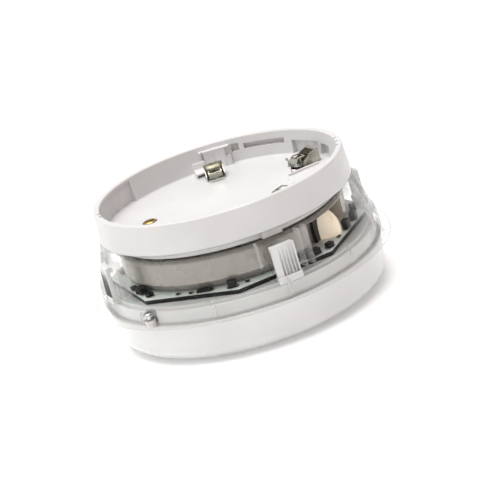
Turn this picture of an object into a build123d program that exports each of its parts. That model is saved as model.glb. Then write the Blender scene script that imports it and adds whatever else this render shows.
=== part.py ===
from build123d import *

import os
from math import cos, radians, sin

# Horn strobe that hangs under a ceiling base. The origin is the centre of the
# rim that meets the base, +Z points to the ceiling, and all sizes are in
# millimetres. The front of the device, with the sounder, is its lowest face.

os.makedirs("parts", exist_ok=True)

# ---------------------------------------------------------------- dimensions
RIM_R = 51.0  # outer radius of the rim, fits round a 102 mm base
RING_EDGE_R = 51.7  # the ring widens a little to its lower edge
WALL_TOP_R = 48.4  # inner wall of the recess at the rim
WALL_FLOOR_R = 47.0  # inner wall of the recess at the floor
FLOOR_Z = -10.2
FLOOR_T = 2.0
UNDER_Z = FLOOR_Z - FLOOR_T

DRUM_R = 46.0
DRUM_TOP_Z = -17.0
DRUM_WALL = 1.6
FOOT_R = 43.0  # the drum leans in to its foot
FOOT_START_Z = -27.0

BOARD_TOP_Z = -30.5
BOARD_R = 52.4  # to the corners of its eight sides
BOARD_T = 1.6
BOARD_UNDER_Z = BOARD_TOP_Z - BOARD_T

ADDRESS_TOP_Z = -15.0
ADDRESS_R = 39.0

LENS_TOP_R = 51.9
LENS_TOP_Z = UNDER_Z - 0.3
LENS_LOW_R = 57.2  # the clear wall stands upright from here to its flange
LENS_LOW_Z = -32.4
FLANGE_R = 61.0
FLANGE_TOP_Z = -37.0
FLANGE_Z = -39.0
LENS_WALL = 2.0

COVER_TOP_R = 56.5
COVER_LOW_R = 55.5
COVER_LOW_Z = -49.0
FRONT_Z = -57.0
COVER_WALL = 2.2
LIP_OUT_R = 54.9  # the cover's lip stands inside the clear wall
LIP_IN_R = 53.2
LIP_TOP_Z = -33.4
SHELF_R = 47.0  # the lip widens inwards to a shelf under the board
SHELF_Z = -32.3
SHELF_T = 1.4

LATCHES = [18, 108, 198, 288]  # middle of each snap zone, degrees
LAMPS = {"front": -30, "rear": 150}
LONG_SCREWS = [-80, 10, 100, 190]
LONG_SCREW_RING = 40.0
LONG_POST_R = 2.8  # posts and bosses round the long screws
LONG_SCREW_HOLE_R = 1.3
PILOT_R = 1.05
BOSSES = [-135, 45]  # screw bosses on the flange
BOSS_RING = 56.6
CONTACTS = {1: (91, 36.0), 2: (23, 43.0), 3: (-45, 38.0)}  # angle, root radius
LEG_PLACE = 5.75  # leg of a contact and its slot, in from the root
DIALS = {"tens": (-30.5, -1.8), "units": (-27.0, -15.5)}
DIAL_R = 2.8

RUNNING_GAP = 0.08  # radial clearance of a turning stub
FREE_GAP = 0.3  # space kept between pieces that move


# ------------------------------------------------------------------- helpers
def polar(radius, angle):
    """Return the point at a radius and an angle in degrees."""
    return (radius * cos(radians(angle)), radius * sin(radians(angle)))


def band(inner, outer, start, stop, height):
    """Return a flat band between two radii and two angles, at a height."""
    with BuildSketch(Plane.XY.offset(height)) as flat:
        with BuildLine():
            far = CenterArc((0, 0), outer, start, stop - start)
            near = CenterArc((0, 0), inner, start, stop - start)
            Line(far @ 0, near @ 0)
            Line(far @ 1, near @ 1)
        make_face()
    return flat.sketch


def ring(inner, outer, height):
    """Return a flat full ring at a height."""
    with BuildSketch(Plane.XY.offset(height)) as flat:
        Circle(outer)
        Circle(inner, mode=Mode.SUBTRACT)
    return flat.sketch


def radial_plane(angle):
    """Return the upright plane whose X points outwards and whose Y points up."""
    turn = radians(angle)
    return Plane(
        origin=(0, 0, 0),
        x_dir=(cos(turn), sin(turn), 0),
        z_dir=(sin(turn), -cos(turn), 0),
    )


def outward_plane(angle, height):
    """Return the level plane at a height whose X points outwards."""
    turn = radians(angle)
    return Plane(
        origin=(0, 0, height),
        x_dir=(cos(turn), sin(turn), 0),
        z_dir=(0, 0, 1),
    )


def revolved(points):
    """Return the profile, radius and height, to revolve about Z."""
    with BuildSketch(Plane.XZ) as profile:
        with BuildLine():
            Polyline(*points, close=True)
        make_face()
    return profile.sketch


def save(part, name):
    """Label a finished piece and write its STEP file."""
    part.label = name
    export_step(part, f"parts/{name}.step")
    print(name, round(part.volume), "mm3")


LONG_SPOTS = [polar(LONG_SCREW_RING, angle) for angle in LONG_SCREWS]

# -------------------------------------------------------------- rear housing
SEAL_IN_R = 48.4
SEAL_OUT_R = 50.2
SEAL_TOP_Z = -10.4

WALL_PANEL = (137, 195)  # start and end of the recessed panel, degrees
WINDOW_STARTS = (50.5, -69.5)
WINDOW_SPAN = 22.5
BLOCK_MIDDLES = (88, -32, -152)
BLOCK_HALF = 8.0
BLOCK_IN_R = 45.2
BLOCK_OUT_R = 48.3
BLOCK_TOP_Z = -2.0
WIDE_POCKET = (26, 45.5)
SMALL_POCKET = (15.5, 24)
RIM_MARKS = (-8, -2, 4, 186, 191)
FLOOR_OPENING = [(29.0, 6.5), (37.8, 10.2), (29.6, 21.0)]
GUIDE_RIB = (96, 103)
CATCH_DEPTH = 3.6
SPIGOT_IN_R = 43.6  # ring under the floor that centres the drum
SPIGOT_OUT_R = 45.2
SPIGOT_DEPTH = 4.7

rear_profile = [
    (0, FLOOR_Z),
    (WALL_FLOOR_R, FLOOR_Z),
    (WALL_TOP_R, -0.5),
    (WALL_TOP_R + 0.5, 0),
    (RIM_R - 0.7, 0),
    (RIM_R, -0.7),
    (RING_EDGE_R, UNDER_Z + 0.4),
    (RING_EDGE_R - 0.4, UNDER_Z),
    (0, UNDER_Z),
]

with BuildPart() as rear_housing:
    add(revolved(rear_profile))
    revolve(axis=Axis.Z)
    # groove for the seal, open downwards
    extrude(ring(SEAL_IN_R, SEAL_OUT_R, UNDER_Z), amount=SEAL_TOP_Z - UNDER_Z, mode=Mode.SUBTRACT)
    # recessed panel on the far left of the wall
    extrude(band(46.0, 49.2, *WALL_PANEL, -1.2), amount=-8.8, mode=Mode.SUBTRACT)
    # bayonet windows, the same on both sides of the recess
    for start in WINDOW_STARTS:
        window = band(46.0, 49.6, start, start + WINDOW_SPAN, -3.3)
        extrude(window, amount=-2.3, mode=Mode.SUBTRACT)
    # bayonet blocks, each with an upright slot at its end and a small notch
    for middle in BLOCK_MIDDLES:
        start = middle - BLOCK_HALF
        stop = middle + BLOCK_HALF
        raised = band(BLOCK_IN_R, BLOCK_OUT_R, start, stop, BLOCK_TOP_Z)
        extrude(raised, amount=FLOOR_Z - BLOCK_TOP_Z)
        slot = band(44.0, 49.2, stop - 1.4, stop + 0.6, BLOCK_TOP_Z)
        extrude(slot, amount=-8.6, mode=Mode.SUBTRACT)
        notch = band(44.0, 47.0, start - 0.5, start + 5.0, BLOCK_TOP_Z - 0.4)
        extrude(notch, amount=-3.6, mode=Mode.SUBTRACT)
    # pockets in the wall beside the second contact
    extrude(band(46.0, 49.0, *WIDE_POCKET, -5.0), amount=FLOOR_Z + 5.0, mode=Mode.SUBTRACT)
    extrude(band(46.0, 49.0, *SMALL_POCKET, -6.0), amount=-3.6, mode=Mode.SUBTRACT)
    # marks on the rim
    for angle in RIM_MARKS:
        extrude(band(47.5, 49.6, angle, angle + 1.4, 0), amount=-1.2, mode=Mode.SUBTRACT)
    # floor windows under the contacts
    with BuildSketch(Plane.XY.offset(FLOOR_Z)):
        with BuildLine():
            Polyline(*FLOOR_OPENING, close=True)
        make_face()
    extrude(amount=-FLOOR_T, mode=Mode.SUBTRACT)
    for number in (1, 3):
        angle, root = CONTACTS[number]
        with BuildSketch(outward_plane(angle, FLOOR_Z)):
            with Locations((root - 7.9, 0)):
                Rectangle(1.6, 4.4)
        extrude(amount=-FLOOR_T, mode=Mode.SUBTRACT)
    # slots for the legs of the contact seats
    for angle, root in CONTACTS.values():
        with BuildSketch(outward_plane(angle, FLOOR_Z)):
            with Locations((root - LEG_PLACE, 0)):
                Rectangle(0.9, 3.0)
        extrude(amount=-FLOOR_T, mode=Mode.SUBTRACT)
    # curved guide rib beside the first contact
    extrude(band(37.0, 38.4, *GUIDE_RIB, FLOOR_Z), amount=2.4)
    # holes for the dials
    with BuildSketch(Plane.XY.offset(FLOOR_Z)):
        with Locations(*DIALS.values()):
            Circle(DIAL_R + FREE_GAP)
    extrude(amount=-FLOOR_T, mode=Mode.SUBTRACT)
    # bosses for the long screws, under the floor
    with BuildSketch(Plane.XY.offset(UNDER_Z)):
        with Locations(*LONG_SPOTS):
            Circle(LONG_POST_R)
    extrude(amount=DRUM_TOP_Z - UNDER_Z)
    with BuildSketch(Plane.XY.offset(DRUM_TOP_Z)):
        with Locations(*LONG_SPOTS):
            Circle(PILOT_R)
    extrude(amount=5.4, mode=Mode.SUBTRACT)
    # spigot ring that stands just above the drum
    extrude(ring(SPIGOT_IN_R, SPIGOT_OUT_R, UNDER_Z), amount=-SPIGOT_DEPTH)
    # catches for the snap tongues of the lens
    for middle in LATCHES:
        catch = band(SPIGOT_OUT_R - 0.2, 48.2, middle - 6, middle + 4, UNDER_Z)
        extrude(catch, amount=-CATCH_DEPTH)
save(rear_housing.part, "rear_housing")

# --------------------------------------------------------------- address dials
DIAL_TOP_Z = -9.7
STUB_R = 1.5
SWITCH_TOP_Z = UNDER_Z - 0.1
SWITCH_SIDE = 7.6

for name, place in DIALS.items():
    with BuildPart() as dial:
        with BuildSketch(Plane.XY.offset(DIAL_TOP_Z)):
            with Locations(place):
                Circle(DIAL_R)
        extrude(amount=SWITCH_TOP_Z + FREE_GAP - DIAL_TOP_Z)
        chamfer(dial.faces().sort_by(Axis.Z)[-1].edges(), 0.3)
        # screwdriver slot and the arrow that points at the digit
        with BuildSketch(Plane.XY.offset(DIAL_TOP_Z)):
            with Locations(place):
                Rectangle(4.2, 0.8)
            with Locations((place[0] + 1.5, place[1])):
                RegularPolygon(0.95, 3)
        extrude(amount=-0.8, mode=Mode.SUBTRACT)
        with BuildSketch(Plane.XY.offset(SWITCH_TOP_Z + FREE_GAP)):
            with Locations(place):
                Circle(STUB_R)
        extrude(amount=-2.0)
    save(dial.part, f"{name}_dial")

    with BuildPart() as switch_body:
        with BuildSketch(Plane.XY.offset(ADDRESS_TOP_Z)):
            with Locations(place):
                Rectangle(SWITCH_SIDE, SWITCH_SIDE)
        extrude(amount=SWITCH_TOP_Z - ADDRESS_TOP_Z)
        chamfer(switch_body.edges().filter_by(Axis.Z), 0.5)
        with BuildSketch(Plane.XY.offset(SWITCH_TOP_Z)):
            with Locations(place):
                Circle(STUB_R + RUNNING_GAP)
        extrude(amount=-2.2, mode=Mode.SUBTRACT)
    save(switch_body.part, f"{name}_switch_body")

# -------------------------------------------------------------------- contacts
LEAF_T = 0.4
LEAF_ROOT_Z = -8.4
SEAT_HALF = 3.6
SEAT_TOP_Z = FLOOR_Z + 0.5
SEAT_FRONT = 6.6  # how far the seat reaches in from the leaf's root
CHEEK_T = 0.4
LEG_Z = ADDRESS_TOP_Z - 1.9
LEAF_HALF = 2.8

for number, (angle, root) in CONTACTS.items():
    upright = radial_plane(angle)
    reach = root - 10.0
    with BuildPart() as leaf:
        with BuildSketch(upright):
            with BuildLine():
                FilletPolyline(
                    (root, LEAF_ROOT_Z),
                    (root - 2.6, LEAF_ROOT_Z),
                    (root - 5.0, -6.1),
                    (reach + 1.4, -6.1),
                    (reach, -8.3),
                    radius=0.9,
                )
            trace(line_width=LEAF_T)
        extrude(amount=LEAF_HALF, both=True)
        # window through the top of the leaf
        with BuildSketch(outward_plane(angle, -5.0)):
            with Locations((root - 6.4, 0)):
                Rectangle(1.8, 3.0)
        extrude(amount=-3.0, mode=Mode.SUBTRACT)
    save(leaf.part, f"contact_leaf_{number}")

    strap_z = LEAF_ROOT_Z + LEAF_T / 2 + FREE_GAP
    rest_z = LEAF_ROOT_Z - LEAF_T / 2 - FREE_GAP
    with BuildPart() as seat:
        # base plate on the floor, with a leg that goes down to the board
        with BuildSketch(outward_plane(angle, FLOOR_Z)):
            with Locations((root + 0.8 - (SEAT_FRONT + 0.8) / 2, 0)):
                Rectangle(SEAT_FRONT + 0.8, 2 * SEAT_HALF)
        extrude(amount=SEAT_TOP_Z - FLOOR_Z)
        with BuildSketch(outward_plane(angle, FLOOR_Z)):
            with Locations((root - LEG_PLACE, 0)):
                Rectangle(0.5, 2.4)
        extrude(amount=LEG_Z - FLOOR_Z)
        # rear wall, the strap over the leaf's root and the step under it
        with BuildSketch(upright):
            with BuildLine():
                Polyline(
                    (root - 1.6, FLOOR_Z),
                    (root + 0.8, FLOOR_Z),
                    (root + 0.8, strap_z + 0.5),
                    (root - 1.6, strap_z + 0.5),
                    (root - 1.6, strap_z),
                    (root + FREE_GAP, strap_z),
                    (root + FREE_GAP, rest_z),
                    (root - 1.6, rest_z),
                    close=True,
                )
            make_face()
        extrude(amount=SEAT_HALF, both=True)
        # cheeks on both sides, lower towards the tip of the leaf
        for side in (-SEAT_HALF, SEAT_HALF - CHEEK_T):
            with BuildSketch(upright.offset(-side)):
                with BuildLine():
                    Polyline(
                        (root - SEAT_FRONT, FLOOR_Z),
                        (root + 0.8, FLOOR_Z),
                        (root + 0.8, strap_z + 0.5),
                        (root - 1.6, strap_z + 0.5),
                        (root - 5.4, -7.4),
                        (root - SEAT_FRONT, -8.6),
                        close=True,
                    )
                make_face()
            extrude(amount=-CHEEK_T)
    save(seat.part, f"contact_seat_{number}")

# --------------------------------------------------------------- address board
with BuildPart() as address_board:
    with BuildSketch(Plane.XY.offset(ADDRESS_TOP_Z)):
        Circle(ADDRESS_R)
        with Locations(*LONG_SPOTS):
            Circle(LONG_POST_R + 0.2, mode=Mode.SUBTRACT)
        for angle, root in CONTACTS.values():
            with Locations(polar(root - LEG_PLACE, angle)):
                Rectangle(0.7, 2.6, rotation=angle, mode=Mode.SUBTRACT)
    extrude(amount=-BOARD_T)
save(address_board.part, "address_board")

# ------------------------------------------------------------------ inner drum
NICHE_BACK_R = 37.5
NICHE_SPAN = (-19.0, 8.5)  # the niche reaches further to one side of its lamp
DRUM_HUB_R = 33.0
DRUM_CEILING_Z = DRUM_TOP_Z - DRUM_WALL

drum_profile = [
    (DRUM_HUB_R, DRUM_TOP_Z),
    (DRUM_R - 1.6, DRUM_TOP_Z),
    (DRUM_R - 0.5, DRUM_TOP_Z - 0.5),
    (DRUM_R, DRUM_TOP_Z - 1.6),
    (DRUM_R, FOOT_START_Z),
    (FOOT_R, BOARD_TOP_Z),
    (FOOT_R - DRUM_WALL, BOARD_TOP_Z),
    (DRUM_R - DRUM_WALL, FOOT_START_Z),
    (DRUM_R - DRUM_WALL, DRUM_CEILING_Z),
    (DRUM_HUB_R, DRUM_CEILING_Z),
]
outside_foot = [
    (FOOT_R, BOARD_TOP_Z),
    (DRUM_R, FOOT_START_Z),
    (DRUM_R + 4, FOOT_START_Z),
    (DRUM_R + 4, BOARD_TOP_Z),
]

with BuildPart() as inner_drum:
    add(revolved(drum_profile))
    revolve(axis=Axis.Z)
    # posts that carry the long screws
    with BuildSketch(Plane.XY.offset(DRUM_CEILING_Z)):
        with Locations(*LONG_SPOTS):
            Circle(LONG_POST_R)
    extrude(amount=BOARD_TOP_Z - DRUM_CEILING_Z)
    with BuildSketch(Plane.XY.offset(DRUM_TOP_Z)):
        with Locations(*LONG_SPOTS):
            Circle(LONG_SCREW_HOLE_R)
    extrude(amount=BOARD_TOP_Z - DRUM_TOP_Z, mode=Mode.SUBTRACT)
    # niches for the lamps, open outwards and to the board
    niche_middle = sum(NICHE_SPAN) / 2
    niche_width = NICHE_SPAN[1] - NICHE_SPAN[0]
    for angle in LAMPS.values():
        with BuildSketch(outward_plane(angle, DRUM_CEILING_Z)):
            with Locations((NICHE_BACK_R + 4.5, niche_middle)):
                Rectangle(12.0, niche_width + 2 * DRUM_WALL)
            Circle(DRUM_R - 0.4, mode=Mode.INTERSECT)
        extrude(amount=BOARD_TOP_Z - DRUM_CEILING_Z)
        with BuildSketch(outward_plane(angle, DRUM_CEILING_Z)):
            with Locations((NICHE_BACK_R + 6.0, niche_middle)):
                Rectangle(12.0, niche_width)
        extrude(amount=BOARD_TOP_Z - DRUM_CEILING_Z, mode=Mode.SUBTRACT)
    # the walls of the niches lean in with the foot
    add(revolved(outside_foot))
    revolve(axis=Axis.Z, mode=Mode.SUBTRACT)
save(inner_drum.part, "inner_drum")

# ---------------------------------------------------------------- beacon board
BOARD_SIDES = 8
BOARD_TURN = -4.5

with BuildPart() as beacon_board:
    with BuildSketch(Plane.XY.offset(BOARD_TOP_Z)):
        RegularPolygon(BOARD_R, BOARD_SIDES, rotation=BOARD_TURN)
        for angle in BOSSES:
            with Locations(polar(BOSS_RING, angle)):
                Circle(4.8, mode=Mode.SUBTRACT)
        with Locations(*LONG_SPOTS):
            Circle(LONG_SCREW_HOLE_R, mode=Mode.SUBTRACT)
    extrude(amount=-BOARD_T)
save(beacon_board.part, "beacon_board")

# ----------------------------------------------------------------------- lamps
LAMP_FOOT_Z = BOARD_TOP_Z
LAMP_TOP_Z = -19.2

for name, angle in LAMPS.items():
    with BuildPart() as carrier:
        with BuildSketch(outward_plane(angle, LAMP_FOOT_Z)):
            with Locations((NICHE_BACK_R + 0.8, 0)):
                Rectangle(1.2, 14.0)
        extrude(amount=LAMP_TOP_Z - LAMP_FOOT_Z)
    save(carrier.part, f"lamp_carrier_{name}")

    with BuildPart() as lamp:
        # an upright oval lamp with a flat back against its carrier
        with BuildSketch(outward_plane(angle, LAMP_FOOT_Z)):
            with BuildLine():
                EllipticalCenterArc((NICHE_BACK_R + 1.4, 0), 7.2, 5.8, -90, arc_size=180)
                Line((NICHE_BACK_R + 1.4, -5.8), (NICHE_BACK_R + 1.4, 5.8))
            make_face()
        extrude(amount=LAMP_TOP_Z - LAMP_FOOT_Z)
        fillet(lamp.faces().sort_by(Axis.Z)[-1].edges().sort_by(Edge.length)[-1], 2.4)
    save(lamp.part, f"strobe_lamp_{name}")

# ------------------------------------------------------------ parts on the board
CHIP_RING = 46.6
CHIP_ANGLES = [-149, -141, -106, -98, -56, -44, -24, -12, 2, 66, 82, 118, 171]
RESISTOR_ANGLES = [-162, -123, -115, -90, -64, -34, -5, 30, 60, 90, 128, 161]

with BuildPart() as beacon_chips:
    for angle in CHIP_ANGLES:
        with BuildSketch(outward_plane(angle, BOARD_TOP_Z)):
            with Locations((CHIP_RING, 0)):
                Rectangle(2.6, 4.0)
        extrude(amount=1.7)
save(beacon_chips.part, "beacon_chips")

with BuildPart() as chip_resistors:
    for angle in RESISTOR_ANGLES:
        with BuildSketch(outward_plane(angle, BOARD_TOP_Z)):
            with Locations((CHIP_RING, 0)):
                Rectangle(1.2, 2.0)
        extrude(amount=0.6)
save(chip_resistors.part, "chip_resistors")

with BuildPart() as storage_capacitors:
    with BuildSketch(Plane.XY.offset(BOARD_TOP_Z)):
        with Locations((-14, 14), (-2.5, 20)):
            Circle(5.0)
    extrude(amount=11.0)
    fillet(storage_capacitors.edges().filter_by(GeomType.CIRCLE).group_by(Axis.Z)[-1], 0.6)
save(storage_capacitors.part, "storage_capacitors")

with BuildPart() as boost_inductor:
    with BuildSketch(Plane.XY.offset(BOARD_TOP_Z)):
        with Locations((16, 6)):
            RectangleRounded(12.0, 12.0, 2.5)
    extrude(amount=6.0)
    fillet(boost_inductor.faces().sort_by(Axis.Z)[-1].edges(), 0.8)
save(boost_inductor.part, "boost_inductor")

with BuildPart() as driver_transistors:
    for spot in ((16, -8), (24, -8)):
        with BuildSketch(Plane.XY.offset(BOARD_TOP_Z)):
            with Locations(spot):
                Rectangle(6.6, 6.1)
        extrude(amount=2.3)
save(driver_transistors.part, "driver_transistors")

with BuildPart() as microcontroller:
    with BuildSketch(Plane.XY.offset(BOARD_TOP_Z)):
        with Locations((-10, -12)):
            Rectangle(9.0, 9.0)
    extrude(amount=1.4)
    chamfer(microcontroller.faces().sort_by(Axis.Z)[-1].edges(), 0.3)
save(microcontroller.part, "microcontroller")

# ------------------------------------------------------------ board connector
LINK_PLACE = (4.0, -18.0)
LINK_PITCH = 2.54
LINK_WAYS = 6
SOCKET_TOP_Z = BOARD_TOP_Z + 8.5

with BuildPart() as board_link_socket:
    with BuildSketch(Plane.XY.offset(BOARD_TOP_Z)):
        with Locations(LINK_PLACE):
            Rectangle(LINK_WAYS * LINK_PITCH, 2.5)
    extrude(amount=SOCKET_TOP_Z - BOARD_TOP_Z)
    with BuildSketch(Plane.XY.offset(SOCKET_TOP_Z)):
        with Locations(LINK_PLACE):
            with GridLocations(LINK_PITCH, 0, LINK_WAYS, 1):
                Rectangle(0.74, 0.74)
    extrude(amount=-6.0, mode=Mode.SUBTRACT)
save(board_link_socket.part, "board_link_socket")

with BuildPart() as board_link_pins:
    with BuildSketch(Plane.XY.offset(ADDRESS_TOP_Z - BOARD_T)):
        with Locations(LINK_PLACE):
            Rectangle(LINK_WAYS * LINK_PITCH, 2.5)
    extrude(amount=-2.5)
    with BuildSketch(Plane.XY.offset(ADDRESS_TOP_Z - BOARD_T - 2.5)):
        with Locations(LINK_PLACE):
            with GridLocations(LINK_PITCH, 0, LINK_WAYS, 1):
                Rectangle(0.64, 0.64)
    extrude(amount=-8.0)
save(board_link_pins.part, "board_link_pins")

# ------------------------------------------------------------------- lens seal
with BuildPart() as lens_seal:
    extrude(ring(SEAL_IN_R + 0.1, SEAL_OUT_R - 0.1, SEAL_TOP_Z), amount=LENS_TOP_Z - SEAL_TOP_Z)
save(lens_seal.part, "lens_seal")

# ------------------------------------------------------------------ lens cover
BOSS_TOP_Z = -32.8
BOSS_FLOOR_Z = -36.2
BOSS_LOW_Z = -37.8
BOSS_R = 3.0
SCREW_R = 1.0
GUSSET_HALF = 0.5

lens_profile = [
    (LENS_TOP_R - LENS_WALL, LENS_TOP_Z),
    (LENS_TOP_R, LENS_TOP_Z),
    (56.2, -29.0),
    (LENS_LOW_R, LENS_LOW_Z),
    (LENS_LOW_R, FLANGE_TOP_Z),
    (FLANGE_R - 0.4, FLANGE_TOP_Z),
    (FLANGE_R, FLANGE_TOP_Z - 0.4),
    (FLANGE_R, FLANGE_Z),
    (LENS_LOW_R - LENS_WALL, FLANGE_Z),
    (LENS_LOW_R - LENS_WALL, LENS_LOW_Z),
    (54.2, -29.0),
]

with BuildPart() as lens_cover:
    add(revolved(lens_profile))
    revolve(axis=Axis.Z)
    # upright gussets that stand on the flange
    for angle in range(-165, 195, 30):
        if angle in BOSSES:
            continue
        with BuildSketch(radial_plane(angle)):
            with BuildLine():
                Polyline(
                    (55.5, -28.6),
                    (56.1, -28.6),
                    (59.2, FLANGE_TOP_Z - 0.3),
                    (56.4, FLANGE_TOP_Z - 0.3),
                    close=True,
                )
            make_face()
        extrude(amount=GUSSET_HALF, both=True)
    for middle in LATCHES:
        # window around the tongue, then the tongue itself, stiff at its foot
        extrude(band(48.0, 62.0, middle - 7.6, middle + 4.8, -17.0), amount=-14.0, mode=Mode.SUBTRACT)
        extrude(band(54.0, 56.2, middle - 6.3, middle + 3.7, -18.0), amount=-14.6)
        extrude(band(53.0, 54.2, middle - 6.3, middle + 3.7, -18.0), amount=-2.0)
        # upright ribs that stiffen the wall on both sides
        for start, depth in ((-11.6, 9.6), (7.2, 10.4), (10.6, 10.4)):
            extrude(band(51.4, 56.4, middle + start, middle + start + 1.2, -15.0), amount=-depth)
    # screw bosses, hollow below to take the lugs of the front cover
    for angle in BOSSES:
        with BuildSketch(Plane.XY.offset(BOSS_TOP_Z)):
            with Locations(polar(BOSS_RING, angle)):
                Circle(BOSS_R)
        extrude(amount=BOSS_LOW_Z - BOSS_TOP_Z)
        with BuildSketch(Plane.XY.offset(BOSS_TOP_Z)):
            with Locations(polar(BOSS_RING, angle)):
                Circle(2.3)
        extrude(amount=-1.8, mode=Mode.SUBTRACT)
        with BuildSketch(Plane.XY.offset(BOSS_TOP_Z)):
            with Locations(polar(BOSS_RING, angle)):
                Circle(SCREW_R + 0.2)
        extrude(amount=FLANGE_Z - BOSS_TOP_Z, mode=Mode.SUBTRACT)
        with BuildSketch(Plane.XY.offset(BOSS_FLOOR_Z)):
            with Locations(polar(BOSS_RING, angle)):
                Circle(2.4)
        extrude(amount=FLANGE_Z - BOSS_FLOOR_Z, mode=Mode.SUBTRACT)
save(lens_cover.part, "lens_cover")

# ----------------------------------------------------------------- front cover
CORNER_REACH = 11.0
CORNER_RISE = 8.0
SLOT_COUNT = 24
COVER_INSIDE_Z = FRONT_Z + COVER_WALL

with BuildPart() as front_cover:
    with BuildSketch(Plane.XZ):
        with BuildLine():
            Polyline(
                (0, COVER_INSIDE_Z),
                (COVER_LOW_R - CORNER_REACH, COVER_INSIDE_Z),
                (COVER_LOW_R - COVER_WALL, COVER_LOW_Z + 1.0),
                (LIP_IN_R, FLANGE_Z - 2.0),
                (LIP_IN_R, SHELF_Z - SHELF_T),
                (SHELF_R, SHELF_Z - SHELF_T),
                (SHELF_R, SHELF_Z),
                (LIP_IN_R, SHELF_Z),
                (LIP_IN_R, LIP_TOP_Z),
                (LIP_OUT_R, LIP_TOP_Z),
                (LIP_OUT_R, FLANGE_Z),
                (COVER_TOP_R, FLANGE_Z),
                (COVER_LOW_R, COVER_LOW_Z),
            )
            EllipticalCenterArc(
                (COVER_LOW_R - CORNER_REACH, COVER_LOW_Z),
                CORNER_REACH,
                CORNER_RISE,
                -90,
                arc_size=90,
            )
            Polyline((COVER_LOW_R - CORNER_REACH, FRONT_Z), (0, FRONT_Z), (0, COVER_INSIDE_Z))
        make_face()
    revolve(axis=Axis.Z)
    # sound slots around the middle of the face
    with BuildSketch(Plane.XY.offset(FRONT_Z)):
        with PolarLocations(19.0, SLOT_COUNT):
            SlotOverall(9.0, 2.0)
    extrude(amount=COVER_WALL, mode=Mode.SUBTRACT)
    # lugs for the screws of the lens, with room for the lens's own bosses
    for angle in BOSSES:
        with BuildSketch(Plane.XY.offset(BOSS_TOP_Z)):
            with Locations(polar(BOSS_RING, angle)):
                Circle(BOSS_R + 0.1)
        extrude(amount=BOSS_LOW_Z - 0.1 - BOSS_TOP_Z, mode=Mode.SUBTRACT)
        with BuildSketch(Plane.XY.offset(BOSS_FLOOR_Z)):
            with Locations(polar(BOSS_RING, angle)):
                Circle(2.2)
        extrude(amount=FLANGE_Z - 0.2 - BOSS_FLOOR_Z)
        with BuildSketch(Plane.XY.offset(BOSS_FLOOR_Z)):
            with Locations(polar(BOSS_RING, angle)):
                Circle(SCREW_R + 0.05)
        extrude(amount=-2.6, mode=Mode.SUBTRACT)
save(front_cover.part, "front_cover")

# ---------------------------------------------------------------------- screws
with BuildPart() as cover_screws:
    for angle in BOSSES:
        spot = polar(BOSS_RING, angle)
        with BuildSketch(Plane.XY.offset(BOSS_TOP_Z - 1.8)):
            with Locations(spot):
                Circle(2.1)
        extrude(amount=1.5)
        with BuildSketch(Plane.XY.offset(BOSS_TOP_Z - 1.8)):
            with Locations(spot):
                Circle(SCREW_R)
        extrude(amount=-4.0)
        with BuildSketch(Plane.XY.offset(BOSS_TOP_Z - 0.3)):
            with Locations(spot):
                Rectangle(2.4, 0.6)
                Rectangle(0.6, 2.4)
        extrude(amount=-0.8, mode=Mode.SUBTRACT)
save(cover_screws.part, "cover_screws")

with BuildPart() as assembly_screws:
    for angle in LONG_SCREWS:
        spot = polar(LONG_SCREW_RING, angle)
        with BuildSketch(Plane.XY.offset(BOARD_UNDER_Z)):
            with Locations(spot):
                Circle(2.3)
        extrude(amount=-1.6)
        with BuildSketch(Plane.XY.offset(BOARD_UNDER_Z)):
            with Locations(spot):
                Circle(SCREW_R)
        extrude(amount=19.8)
        with BuildSketch(Plane.XY.offset(BOARD_UNDER_Z - 1.6)):
            with Locations(spot):
                Rectangle(2.6, 0.6)
                Rectangle(0.6, 2.6)
        extrude(amount=0.8, mode=Mode.SUBTRACT)
save(assembly_screws.part, "assembly_screws")

# --------------------------------------------------------------------- sounder
CHAMBER_R = 27.0
CHAMBER_WALL = 1.5
CHAMBER_TOP_Z = BOARD_UNDER_Z - 2.5
PIEZO_R = 20.5
PIEZO_Z = -44.0
LEDGE_R = 19.0
HORN_TOP_Z = -50.0
HORN_T = 2.0

chamber_profile = [
    (0, CHAMBER_TOP_Z),
    (CHAMBER_R, CHAMBER_TOP_Z),
    (CHAMBER_R, HORN_TOP_Z),
    (CHAMBER_R - CHAMBER_WALL, HORN_TOP_Z),
    (CHAMBER_R - CHAMBER_WALL, PIEZO_Z),
    (LEDGE_R, PIEZO_Z),
    (LEDGE_R, CHAMBER_TOP_Z - CHAMBER_WALL),
    (0, CHAMBER_TOP_Z - CHAMBER_WALL),
]

with BuildPart() as sounder_chamber:
    add(revolved(chamber_profile))
    revolve(axis=Axis.Z)
    # two holes for the spring contacts of the sounder
    with BuildSketch(Plane.XY.offset(CHAMBER_TOP_Z)):
        with Locations((0, 0), (16, 0)):
            Circle(1.4)
    extrude(amount=-CHAMBER_WALL, mode=Mode.SUBTRACT)
save(sounder_chamber.part, "sounder_chamber")

with BuildPart() as piezo_plate:
    with BuildSketch(Plane.XY.offset(PIEZO_Z)):
        Circle(PIEZO_R)
    extrude(amount=-0.3)
save(piezo_plate.part, "piezo_plate")

with BuildPart() as piezo_ceramic:
    with BuildSketch(Plane.XY.offset(PIEZO_Z)):
        Circle(12.5)
    extrude(amount=0.3)
save(piezo_ceramic.part, "piezo_ceramic")

with BuildPart() as piezo_springs:
    for spot, foot in (((0, 0), PIEZO_Z + 0.3), ((16, 0), PIEZO_Z)):
        with BuildSketch(Plane.XY.offset(BOARD_UNDER_Z)):
            with Locations(spot):
                Circle(1.0)
        extrude(amount=foot - BOARD_UNDER_Z)
save(piezo_springs.part, "piezo_springs")

with BuildPart() as horn_plate:
    with BuildSketch(Plane.XY.offset(HORN_TOP_Z)):
        Circle(CHAMBER_R)
        with PolarLocations(7.0, 4):
            Circle(2.6, mode=Mode.SUBTRACT)
    extrude(amount=-HORN_T)
save(horn_plate.part, "horn_plate")

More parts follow.
